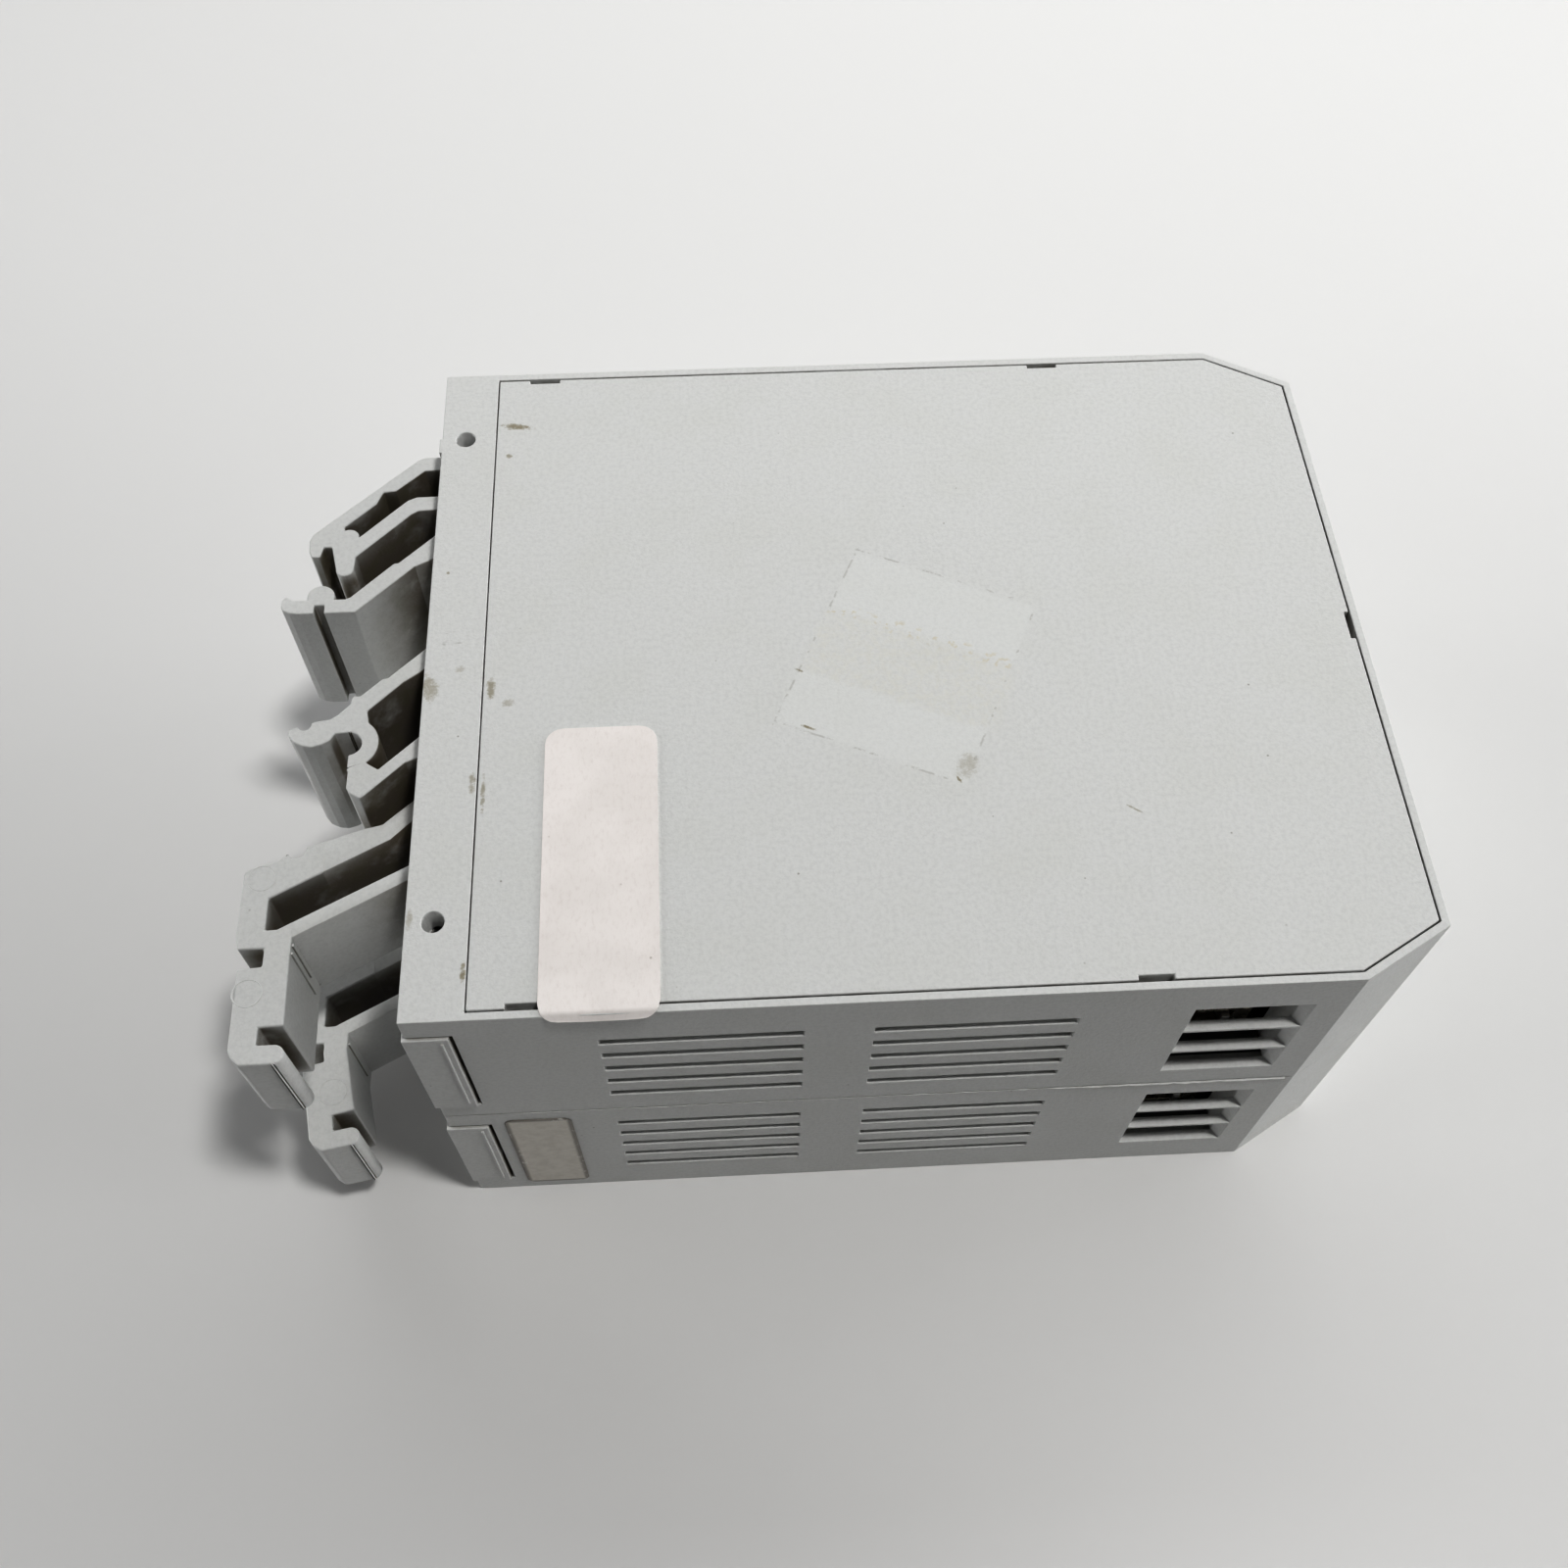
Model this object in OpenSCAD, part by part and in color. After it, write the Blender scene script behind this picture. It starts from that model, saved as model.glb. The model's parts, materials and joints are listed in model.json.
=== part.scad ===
// Two-module DIN rail power supply, lying on its right-hand side cover.
// X runs from the rail side to the front, Y is the mounted height, Z is the mounted width.
// Outlines are drawn with x = 0 at the rear edge of the case and y = 0 at its lower side.

/* [Case] */
// Depth of the case from rear edge to front face
case_d = 89.3; // [80:0.1:110]
// Height of the case when mounted
case_h = 73.5; // [70:0.1:90]
// Width of the case, two 22.5 mm modules
case_w = 45; // [44:0.1:48]
// Wall thickness of the half shells
wall = 1.8; // [1.5:0.1:2.2]
// Length of the front chamfers along the depth
chamfer_x = 8.3; // [6:0.1:10]
// Height of the front chamfers
chamfer_y = 4.7; // [3:0.1:5.5]
// Half of the seam between the two half shells
seam_gap = 0.05; // [0:0.01:0.1]

/* [Side covers] */
// Width of the rear strip that stays part of the shell
strip_w = 5.5; // [5:0.1:7]
// Thickness of the rear strip
strip_t = 1.5; // [1.2:0.1:2]
// Width of the shell rim round a cover
rim = 0.75; // [0.6:0.05:1]
// Gap round a cover
cover_gap = 0.15; // [0.1:0.05:0.3]
// Thickness of a cover
cover_t = 1.6; // [1.2:0.1:2]
// Length of a pry notch in a cover's edge
notch_l = 3.1; // [2:0.1:5]
// Depth of a pry notch
notch_d = 0.45; // [0.3:0.05:0.6]

/* [Vents] */
// Number of vent slots in a group
vent_rows = 5; // [3:1:5]
// Distance between vent slots
vent_pitch = 3.07; // [2.8:0.01:3.2]
// Height of a vent slot
vent_slot = 1.1; // [0.8:0.1:1.4]
// Length of a vent slot
vent_l = 17.7; // [12:0.1:18]

/* [Terminals] */
// Number of clamps in a terminal block
poles = 3; // [3:1:3]
// Distance between clamps
pole_pitch = 4.8; // [4.8:0.05:4.85]
// Distance of the clamp screws from the narrow side of the case
screw_y = 7.2; // [7:0.1:7.4]
// Radius of a clamp screw's thread
screw_r = 1.25; // [1.2:0.01:1.25]
// Radius of a clamp screw's head
head_r = 1.75; // [1.7:0.01:1.75]
// Radial running clearance of the clamp screws
fit = 0.05; // [0.03:0.01:0.08]

/* [Rail foot] */
// Width of the fixed claws
claw_w = 15.5; // [14:0.1:16]
// Width of the sprung latch
latch_w = 11; // [9:0.1:12]
// Width of the foot's base plate
base_w = 16.2; // [16:0.1:17]
// How far the base plate stands proud of the case
proud = 0.3; // [0.1:0.1:0.4]
// Set of the right latch's pull tab, bent towards the case
tab_set = 9.8; // [0:0.1:12]

/* [Hidden] */
$fn = 48;
TERMINALS = ["left_top", "left_bottom", "right_top", "right_bottom"];

tiny = 0.5;                       // overshoot of a cut past a face
seam_z = case_w / 2;              // the two half shells meet here
half_z = seam_z * 1.5 - 0.15;     // middle of the left module's rail foot
reach = 16.2;                     // how far the latches reach behind the case
tab_drop = 0.86;                  // how far the bent pull tab hangs below the case
origin_x = (case_d - reach) / 2;
origin_y = (case_h + proud - tab_drop) / 2;
chamfer_l = norm([chamfer_x, chamfer_y]);

// Coupling pin holes in the rear strips
pin_r = 1.0;
pin_depth = 3.0;
pin_places = [[2.4, 64.5], [2.4, 9.2]];

// Terminal window in the narrow sides
window_x = 67.5;
window_l = 10.5;
window_low = 25.7;
window_high = window_low + poles * pole_pitch;
blade_edge = 0.4;                 // thickness of a louvre blade at its outer lip
blade_deep = 1.05;                // how far a blade's flat top reaches into the window
blade_root = 0.8;                 // thickness of a blade at its inner edge
rib_l = 1.4;                      // thickness of the rib at the window's front end
rib_deep = 4;                     // how far that rib reaches into the case
rib_step = 0.6;                   // how far the rib leans into the window
vent_starts = [16, 39.8];
vent_z = 32.75;                   // middle slot of the left module

// Clamp: distances along the depth
chamber_x = [67.6, 79.6];
collar_x = 80.6;
block_front = 84;
block_deep = 13.5;
cage_x = 69;
cage_l = 7;
cage_wall = 0.5;
cage_nut = 1.6;
cage_half = 1.8;
contact_x = 73.2;
contact_t = 0.8;
contact_half = 0.9;

// Boards
board_t = 1.6;
board_z = 3.9;                    // component side of the main board
core_x = 31;
core_z = 4.9;

// ------------------------------------------------------------ shared shapes

// Puts a piece into the row's frame: centred under the part's own box
module placed() {
  translate([-origin_x, -origin_y, 0]) children();
}

// Mirrors a left-hand piece to the right-hand module
module right_hand() {
  translate([0, 0, case_w]) mirror([0, 0, 1]) children();
}

// Mirrors a piece at the lower narrow side to the upper one
module top_side() {
  translate([0, case_h, 0]) mirror([0, 1, 0]) children();
}

// Extrudes a y-z outline along the depth, from x on
module along_x(x, l) {
  translate([x, 0, 0]) rotate([90, 0, 90]) linear_extrude(height = l) children();
}

// Block between two corners
module block(a, b) {
  translate(a) cube(b - a);
}

// Rectangle with round corners
module round_rect(a, b, r) {
  translate([a[0] + r, a[1]]) square([b[0] - a[0] - 2 * r, b[1] - a[1]]);
  translate([a[0], a[1] + r]) square([b[0] - a[0], b[1] - a[1] - 2 * r]);
  for (x = [a[0] + r, b[0] - r], y = [a[1] + r, b[1] - r])
    translate([x, y]) circle(r = r);
}

// Side outline of the case, moved inwards by i, with its rear edge at x0
function corner_a(i) = [case_d - chamfer_x - i * chamfer_y / chamfer_l
  + chamfer_x * i * (1 - chamfer_x / chamfer_l) / chamfer_y, i];
function corner_b(i) = [case_d - i, i * chamfer_x / chamfer_l
  + chamfer_y * (chamfer_x - i + i * chamfer_y / chamfer_l) / chamfer_x];
function flip(p) = [p[0], case_h - p[1]];
function case_outline(i, x0) = [[x0, i], corner_a(i), corner_b(i),
  flip(corner_b(i)), flip(corner_a(i)), [x0, case_h - i]];

// ------------------------------------------------------------ case

// Opening of one terminal window, with a thinner sill at its lower edge
module window_cut() {
  along_x(window_x, window_l)
    polygon([[-tiny, window_low], [blade_deep, window_low], [blade_deep, window_low - blade_root],
      [wall + tiny, window_low - blade_root], [wall + tiny, window_high], [-tiny, window_high]]);
}

// Louvre blades of one terminal window, and the rib behind its front end
module louvres() {
  for (k = [1 : poles - 1]) {
    lip = window_low + k * pole_pitch;
    along_x(window_x - 0.2, window_l + 0.4)
      polygon([[0, lip], [blade_deep, lip], [blade_deep, lip - blade_root], [0, lip - blade_edge]]);
  }
  front = window_x + window_l;
  translate([0, 0, window_low - 0.4]) linear_extrude(height = window_high - window_low + 0.8)
    polygon([[front, 0.2], [front + rib_l, 0.2], [front + rib_l, rib_deep], [front - rib_step, rib_deep],
      [front - rib_step, blade_deep]]);
}

module shell_body() {
  difference() {
    union() {
      difference() {
        translate([0, 0, seam_z + seam_gap])
          linear_extrude(height = seam_z - seam_gap) polygon(case_outline(0, 0));
        translate([0, 0, seam_z - tiny])
          linear_extrude(height = seam_z + 2 * tiny) polygon(case_outline(wall, wall));
      }
      // rear strip beside the cover
      block([0, rim, case_w - strip_t], [strip_w, case_h - rim, case_w]);
      // bosses of the coupling pin holes
      for (p = pin_places)
        translate([p[0], p[1], case_w - pin_depth]) cylinder(r = pin_r + 1.2, h = pin_depth);
      // ledges that carry the board
      for (y = [wall, case_h - wall - 1.8])
        block([18, y, case_w - board_z - 1.2], [60, y + 1.8, case_w - board_z]);
      // nib on the rear edge
      block([-0.25, 62.8, case_w - strip_t], [0, 64.7, case_w]);
    }
    // seat of the cover
    translate([0, 0, case_w - cover_t])
      linear_extrude(height = cover_t + tiny) polygon(case_outline(rim, strip_w));
    // seat of the rail foot's base plate, with its ends in the narrow sides
    block([-tiny, -tiny, half_z - base_w / 2 - 0.1],
      [wall + tiny, case_h + tiny, half_z + base_w / 2 + 0.1]);
    for (y = [-tiny, case_h - wall - 0.1])
      block([-tiny, y, half_z - base_w / 2 - 0.1], [4, y + wall + 0.1 + tiny, half_z + base_w / 2 + 0.1]);
    // coupling pin holes
    for (p = pin_places)
      translate([p[0], p[1], case_w - pin_depth]) cylinder(r = pin_r, h = pin_depth + tiny);
    // vent slots, through both narrow sides
    for (x = vent_starts, k = [-(vent_rows - 1) / 2 : (vent_rows - 1) / 2])
      block([x, -tiny, vent_z + k * vent_pitch - vent_slot / 2],
        [x + vent_l, case_h + tiny, vent_z + k * vent_pitch + vent_slot / 2]);
    // screwdriver holes over the clamp screws
    for (y = [screw_y, case_h - screw_y], k = [0 : poles - 1])
      translate([case_d - wall - tiny, y, pole_z(k)])
        rotate([0, 90, 0]) cylinder(r = 2, h = wall + 2 * tiny);
    // seat of the front panel, and the indicator's hole
    block([case_d - 0.8, 13, seam_z - tiny], [case_d + tiny, case_h - 13, case_w - 3]);
    translate([case_d - wall - tiny, 52, 38]) rotate([0, 90, 0]) cylinder(r = 1.6, h = wall + 2 * tiny);
  }
}

// Middle of clamp k in the left module
function pole_z(k) = window_low + (k + 0.5) * pole_pitch;

module left_shell() {
  color("lightgray") {
    difference() {
      shell_body();
      window_cut();
      top_side() window_cut();
    }
    louvres();
    top_side() louvres();
  }
}

// The right shell mirrors the left, but its louvre blades face the same way
module right_shell() {
  shift = case_w - window_low - window_high;
  color("lightgray") {
    difference() {
      right_hand() shell_body();
      translate([0, 0, shift]) {
        window_cut();
        top_side() window_cut();
      }
    }
    translate([0, 0, shift]) {
      louvres();
      top_side() louvres();
    }
  }
}

module cover_body() {
  edge = rim + cover_gap;
  difference() {
    union() {
      translate([0, 0, case_w - cover_t])
        linear_extrude(height = cover_t) polygon(case_outline(edge, strip_w + 0.1));
      // snap hooks inside the narrow sides
      for (x = [9, 61.8], y = [wall + 0.1, case_h - wall - 1.1])
        block([x, y, case_w - 7], [x + notch_l, y + 1, case_w - cover_t]);
    }
    // pry notches in the edge
    for (x = [8.8, 61.7], y = [edge - tiny, case_h - edge - notch_d])
      block([x, y, case_w - cover_t - tiny], [x + notch_l, y + notch_d + tiny, case_w + tiny]);
    block([case_d - edge - notch_d, 35.2, case_w - cover_t - tiny],
      [case_d, 35.2 + notch_l, case_w + tiny]);
  }
}

module left_cover() { color("lightgray") cover_body(); }
module right_cover() { color("lightgray") right_hand() cover_body(); }

module front_panel() {
  color("gainsboro") difference() {
    block([case_d - 0.8, 13.1, 3.1], [case_d, case_h - 13.1, case_w - 3.1]);
    translate([case_d - 2, 52, 38]) rotate([0, 90, 0]) cylinder(r = 1.6, h = 3);
  }
}

module indicator_lens() {
  color("red") translate([case_d - 2.2, 52, 38]) rotate([0, 90, 0]) cylinder(r = 1.5, h = 2.2);
}

// Paper label on the left cover that folds over the lower edge of the case
module type_label() {
  label_t = 0.12;
  color("mistyrose") {
    difference() {
      translate([0, 0, case_w]) linear_extrude(height = label_t)
        round_rect([11.5, -4], [21.7, 28.3], 1.7);
      block([0, -5, case_w - tiny], [40, 0, case_w + tiny]);
    }
    difference() {
      rotate([90, 0, 0]) linear_extrude(height = label_t)
        round_rect([11.5, case_w - 3.2], [21.7, case_w + 4], 1.7);
      block([0, -1, case_w + label_t], [40, 1, case_w + 6]);
    }
  }
}

module number_label() {
  color("silver") rotate([90, 0, 0]) linear_extrude(height = 0.12)
    round_rect([5.3, 1.7], [11.7, 20.7], 0.9);
}

// ------------------------------------------------------------ rail foot

// Upper claw for the 35 mm rail: two slanting arms joined at the hook
module upper_claw() {
  difference() {
    union() {
      polygon([[0, 65.6], [-2.5, 65.6], [-3.2, 65.25], [-12.55, 56.25], [-13.2, 55.6],
        [-13.5, 54.8], [-13.4, 53.4], [-13.05, 52.6], [-12.25, 52.6], [-11.95, 53.85],
        [-11.15, 53.85], [-10.5, 51], [-8.7, 51], [-8.65, 52.5], [-3.4, 57.85],
        [-2.7, 58.3], [0, 58.4]]);
      translate([-9.6, 51]) circle(r = 0.9);
    }
    polygon([[0.1, 63.75], [-2.35, 63.75], [-5.2, 61.1], [-6.5, 60.95], [-7.1, 59.4],
      [-10.1, 56.45], [-10.1, 56.15], [-8.5, 55.1], [-4.7, 59], [-3.9, 59.8],
      [-3, 60.2], [0.1, 60.25]]);
  }
  translate([-9.55, 55.1]) circle(r = 1.05);
}

// Upper claw for the 15 mm rail, with the stop hump on its back
module upper_mini_claw() {
  difference() {
    union() {
      polygon([[0, 55.8], [-4.3, 51.55], [-4.75, 51.5], [-8.75, 47.4], [-9.2, 47.2],
        [-14.3, 47.2], [-14.8, 47.5], [-15, 47.7], [-15.25, 47.6], [-15.45, 47.2],
        [-15.5, 46.55], [-15.3, 46], [-14.6, 45.65], [-13.75, 45.5], [-8.15, 45.5],
        [-2.6, 51], [-1.2, 51.65], [0, 52.3]]);
      translate([-11.65, 47.6]) circle(r = 1.36);
    }
    translate([-12.2, 45]) square([1, 1.5]);
  }
}

// Lower claw for the 15 mm rail: a bar on a slanting arm, backed by a round spring
module lower_mini_claw() {
  spring = [-7.4, 30.05];
  difference() {
    union() {
      polygon([[0, 41.6], [-4.3, 37.4], [-4.75, 37.35], [-6.75, 35.4], [-7.3, 35.5],
        [-7.55, 35.2], [-7.6, 34.55], [-8.65, 33.4], [-9.35, 32.9], [-10.8, 32.65],
        [-12.5, 32.1], [-13.2, 31.75], [-13.05, 31.1], [-12.5, 30.4], [-11.65, 29.95],
        [-10.8, 29.8], [-9.9, 30.05], [-9.2, 30.45], [-8.75, 31.2], [-7.4, 31.3],
        [-5.65, 32.3], [-5.9, 33.65], [-2.7, 36.85], [-1.2, 37.9], [0, 38.9]]);
      difference() {
        translate(spring) circle(r = 2.85);
        translate([-12, 26]) square([4.7, 8]);
      }
      polygon([[-7.2, 28.8], [-7.2, 25.2], [-6.8, 24.6], [-5.85, 24], [-5.5, 24.25],
        [-2.5, 27.15], [-1.9, 27.7], [-1.2, 28], [0, 28.3], [0, 31.4], [-1.2, 30.2],
        [-4.4, 27.1], [-5.6, 27.9]]);
    }
    translate(spring) circle(r = 1.25);
    translate([-11.73, 32.4]) circle(r = 0.65);
  }
}

module rail_foot() {
  color("lightgray") {
    translate([0, 0, half_z - claw_w / 2]) linear_extrude(height = claw_w) {
      upper_claw();
      upper_mini_claw();
      lower_mini_claw();
    }
    // base plate, snapped into the rear of the shell by its two ends
    block([-proud, -proud, half_z - base_w / 2], [wall, case_h + proud, half_z + base_w / 2]);
    for (y = [-proud, case_h - wall])
      block([-proud, y, half_z - base_w / 2], [3.7, y + wall + proud, half_z + base_w / 2]);
  }
}

// The two parallel arms that carry the latch, as flat springs
module latch_arms() {
  color("lightgray") translate([0, 0, half_z - latch_w / 2]) linear_extrude(height = latch_w) {
    polygon([[-proud, 26], [-3.1, 23.45], [-4.1, 22.5], [-5.9, 22.1], [-9, 21.05],
      [-9, 17.72], [-3.2, 20.83], [-1.8, 22.24], [-proud, 23.6]]);
    polygon([[-proud, 18.68], [-11.2, 12.9], [-11.2, 11.24], [-proud, 17.05]]);
  }
}

// Latch head, with the notch for the rail's lower lip
module latch_head() {
  difference() {
    polygon([[-9, 21.05], [-10.75, 20.4], [-12.6, 19.75], [-13.25, 19.1], [-15.5, 18.5],
      [-16.2, 18], [-16.2, 11.7], [-15.9, 10.25], [-13.55, 10.25], [-13.55, 9.4],
      [-11.2, 9.4], [-11.2, 12.9], [-12.6, 12.15], [-13.65, 12.1], [-13.7, 15.2],
      [-9, 17.72]]);
    translate([-11.7, 20.1]) circle(r = 0.8);
    translate([-12.5, 20.1]) square([1.6, 1]);
  }
}

// Pull tab below the thin neck of the latch, with the slot for a screwdriver
module latch_tab() {
  polygon([[-13.55, 9.4], [-13.55, 8.55], [-15.7, 8.4], [-15.6, 0.8], [-15.2, 0],
    [-14.5, -0.65], [-11.6, -0.65], [-11.6, 1.2], [-13.2, 1.2], [-13.2, 2.75],
    [-11, 2.85], [-11.2, 9.4]]);
  translate([-11.65, 0.28]) circle(r = 0.92);
}

module latch(set) {
  neck = [-12.4, 9.4];
  color("lightgray") translate([0, 0, half_z - latch_w / 2]) linear_extrude(height = latch_w) {
    latch_head();
    translate(neck) rotate(set) translate(-neck) latch_tab();
    translate(neck) circle(r = 1.15);
  }
}

// ------------------------------------------------------------ terminals

// Terminal block of the lower left side, with a chamber for each clamp
module terminal_block() {
  low = window_low - 1;
  high = case_w - board_z;
  color("dimgray") difference() {
    translate([0, 0, low]) linear_extrude(height = high - low)
      polygon([[66, wall + 0.15], [80.2, wall + 0.15], [block_front, 4.3],
        [block_front, block_deep], [66, block_deep]]);
    // wire entry, open behind the louvres, and room for the shell's rib
    block([chamber_x[0], 0, pole_z(0) - 2.1], [chamber_x[1], rib_deep + 0.1, pole_z(poles - 1) + 2.1]);
    block([window_x + window_l - rib_step - 0.1, 0, window_low - 0.5],
      [chamber_x[1], rib_deep + 0.1, window_high + 0.5]);
    for (k = [0 : poles - 1]) {
      z = pole_z(k);
      block([chamber_x[0], 0, z - 2.1], [chamber_x[1], 11.5, z + 2.1]);
      translate([chamber_x[1] - tiny, screw_y, z]) rotate([0, 90, 0])
        cylinder(r = screw_r + fit, h = 5);
      translate([collar_x, screw_y, z]) rotate([0, 90, 0]) cylinder(r = head_r + 0.1, h = 5);
      block([contact_x - 0.1, 11, z - contact_half - 0.1],
        [contact_x + contact_t + 0.1, 14, z + contact_half + 0.1]);
    }
  }
}

// Clamp screw with its slotted head
module clamp_screw(k) {
  head_l = 2;
  color("silver") difference() {
    translate([0, screw_y, pole_z(k)]) rotate([0, 90, 0]) {
      translate([0, 0, 74.2]) cylinder(r = screw_r, h = 8);
      translate([0, 0, collar_x + 0.1]) cylinder(r = head_r, h = head_l);
    }
    block([collar_x + 1.3, screw_y - 3, pole_z(k) - 0.25], [block_front, screw_y + 3, pole_z(k) + 0.25]);
  }
}

// Rising cage: the screw pulls it to the front and pinches the wire
module clamp_cage(k) {
  z = pole_z(k);
  color("goldenrod") difference() {
    block([cage_x, screw_y - 3, z - cage_half], [cage_x + cage_l, screw_y + 3, z + cage_half]);
    block([cage_x + 1, screw_y - 4, z - cage_half + cage_wall],
      [cage_x + cage_l - cage_nut, screw_y + 4, z + cage_half - cage_wall]);
    translate([cage_x + cage_l - cage_nut - 1, screw_y, z]) rotate([0, 90, 0])
      cylinder(r = screw_r + fit, h = 5);
  }
}

// Contact strips of three clamps, each with its leg to the board
module contacts() {
  board = case_w - board_z;
  for (k = [0 : poles - 1]) {
    z = pole_z(k);
    far = 14.6 + 1.6 * (poles - 1 - k);
    block([contact_x, 3.8, z - contact_half], [contact_x + contact_t, far + 0.8, z + contact_half]);
    block([contact_x, far, z], [contact_x + contact_t, far + 0.8, board]);
  }
}

module both_contacts() {
  color("silver") {
    contacts();
    top_side() contacts();
  }
}

// Puts a lower left terminal piece on the named side
module at_terminal(side) {
  if (side == "left_bottom") children();
  if (side == "left_top") top_side() children();
  if (side == "right_bottom") right_hand() children();
  if (side == "right_top") right_hand() top_side() children();
}

// ------------------------------------------------------------ electronics

module main_board() {
  color("seagreen") block([5, 3.2, board_z - board_t], [80, case_h - 3.2, board_z]);
}

module terminal_board() {
  color("seagreen") translate([0, 0, case_w - board_z])
    linear_extrude(height = board_t) polygon([[58, 3.2], [80, 3.2], [80, case_h - 3.2],
      [58, case_h - 3.2]]);
}

// Pin header that joins the two boards
module board_link() {
  color("dimgray") {
    for (z = [board_z, case_w - board_z - 2.5])
      block([62, 31, z], [64.5, 42, z + 2.5]);
    for (y = [32.5 : 2.54 : 41])
      block([62.93, y, board_z], [63.57, y + 0.64, case_w - board_z]);
  }
}

// E and I laminations: three limbs round two windows
module transformer_core() {
  color("slategray") difference() {
    block([core_x - 7.5, case_h / 2 - 21, core_z], [core_x + 7.5, case_h / 2 + 21, core_z + 35]);
    for (y = [-14, 7])
      block([core_x - 10, case_h / 2 + y, core_z + 7], [core_x + 10, case_h / 2 + y + 7, core_z + 28]);
  }
}

// Box ring round the core's middle limb
module limb_ring(out, low, high) {
  difference() {
    block([core_x - out[0], case_h / 2 - out[1], low], [core_x + out[0], case_h / 2 + out[1], high]);
    block([core_x - 7.7, case_h / 2 - 7.2, low - 1], [core_x + 7.7, case_h / 2 + 7.2, high + 1]);
  }
}

module transformer_bobbin() {
  low = core_z + 7.2;
  high = core_z + 27.8;
  color("black") {
    limb_ring([8.5, 8], low, high);
    limb_ring([14.5, 13.8], low, low + 0.9);
    limb_ring([14.5, 13.8], high - 0.9, high);
    for (x = [-12.5, 11], y = [-10.5, 9])
      block([core_x + x, case_h / 2 + y, board_z], [core_x + x + 1.5, case_h / 2 + y + 1.5, low]);
  }
}

module transformer_winding() {
  color("orange") difference() {
    block([core_x - 14, case_h / 2 - 13.4, core_z + 8.2], [core_x + 14, case_h / 2 + 13.4, core_z + 26.8]);
    block([core_x - 8.6, case_h / 2 - 8.1, core_z + 7], [core_x + 8.6, case_h / 2 + 8.1, core_z + 28]);
  }
}

// Radial capacitor standing on the board
module capacitor(x, y, r, h) {
  color("midnightblue") translate([x, y, board_z]) difference() {
    cylinder(r = r, h = h);
    translate([0, 0, 1.6]) rotate_extrude() translate([r, 0]) circle(r = 0.5);
  }
}

module bridge_rectifier() {
  color("black") block([50, 57, board_z + 2], [60, 61, board_z + 12]);
  color("silver") for (x = [51.4 : 2.2 : 59])
    block([x, 58.7, board_z], [x + 0.7, 59.2, board_z + 2]);
}

module regulator() {
  color("black") block([10.1, 15, board_z + 6], [14.5, 25, board_z + 15]);
  color("silver") {
    difference() {
      block([10.05, 15, board_z + 15], [11.35, 25, board_z + 21.5]);
      translate([9, 20, board_z + 18.3]) rotate([0, 90, 0]) cylinder(r = 1.6, h = 4);
    }
    for (y = [17.1 : 2.54 : 23])
      block([12, y, board_z], [12.6, y + 0.7, board_z + 6]);
  }
}

module heat_sink() {
  color("darkgray") difference() {
    union() {
      block([8, 9, board_z], [10, 31, board_z + 32]);
      for (y = [9 : 4 : 29])
        block([5.2, y, board_z], [8, y + 1.2, board_z + 32]);
    }
    translate([4, 20, board_z + 18.3]) rotate([0, 90, 0]) cylinder(r = 1.3, h = 8);
  }
}

module heat_sink_screw() {
  color("silver") translate([0, 20, board_z + 18.3]) rotate([0, 90, 0]) {
    translate([0, 0, 7]) cylinder(r = 1.25, h = 5);
    translate([0, 0, 11.4]) cylinder(r = 2.7, h = 1.8);
  }
}

module fuse_clips() {
  color("gold") for (y = [43.2, 58.8])
    difference() {
      block([8.6, y, board_z], [15.4, y + 4, board_z + 8]);
      translate([12, y - 1, board_z + 5]) rotate([-90, 0, 0]) cylinder(r = 2.7, h = 6);
      block([10.3, y - 1, board_z + 5], [13.7, y + 5, board_z + 9]);
    }
}

module fuse() {
  color("lightcyan") translate([12, 43, board_z + 5]) rotate([-90, 0, 0]) {
    cylinder(r = 2.3, h = 20);
    for (y = [0, 15])
      translate([0, 0, y]) cylinder(r = 2.6, h = 5);
  }
}

module indicator_led() {
  color("red") translate([81.5, 52, 38]) rotate([0, 90, 0]) cylinder(r = 1.5, h = 5);
  color("silver") for (y = [-1.5, 0.9]) {
    block([78.5, 52 + y, 37.7], [82, 52 + y + 0.6, 38.3]);
    block([78.5, 52 + y, 38], [79.1, 52 + y + 0.6, case_w - board_z]);
  }
}

// ------------------------------------------------------------ nodes

placed() left_shell();
placed() right_shell();
placed() left_cover();
placed() right_cover();
placed() rail_foot();  // left_rail_foot
placed() right_hand() rail_foot();  // right_rail_foot
placed() latch_arms();  // left_latch_arms
placed() right_hand() latch_arms();  // right_latch_arms
placed() latch(0);  // left_latch
placed() right_hand() latch(tab_set);  // right_latch
placed() front_panel();
placed() indicator_lens();
placed() type_label();
placed() number_label();
placed() main_board();
placed() terminal_board();
placed() board_link();
placed() transformer_core();
placed() transformer_bobbin();
placed() transformer_winding();
placed() capacitor(55, 22, 8, 26);  // smoothing_capacitor
placed() capacitor(55, 46, 5, 20);  // output_capacitor
placed() bridge_rectifier();
placed() regulator();
placed() heat_sink();
placed() heat_sink_screw();
placed() fuse_clips();
placed() fuse();
placed() indicator_led();
placed() both_contacts();  // left_contacts
placed() right_hand() both_contacts();  // right_contacts
for (t = TERMINALS)
  placed() at_terminal(t) terminal_block();
for (t = TERMINALS, k = [1 : poles])
  placed() at_terminal(t) clamp_screw(k - 1);
for (t = TERMINALS, k = [1 : poles])
  placed() at_terminal(t) clamp_cage(k - 1);
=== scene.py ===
"""Looks of the two-module DIN rail power supply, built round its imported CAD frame."""

import json
import math

import bmesh
import bpy
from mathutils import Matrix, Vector, noise


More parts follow.
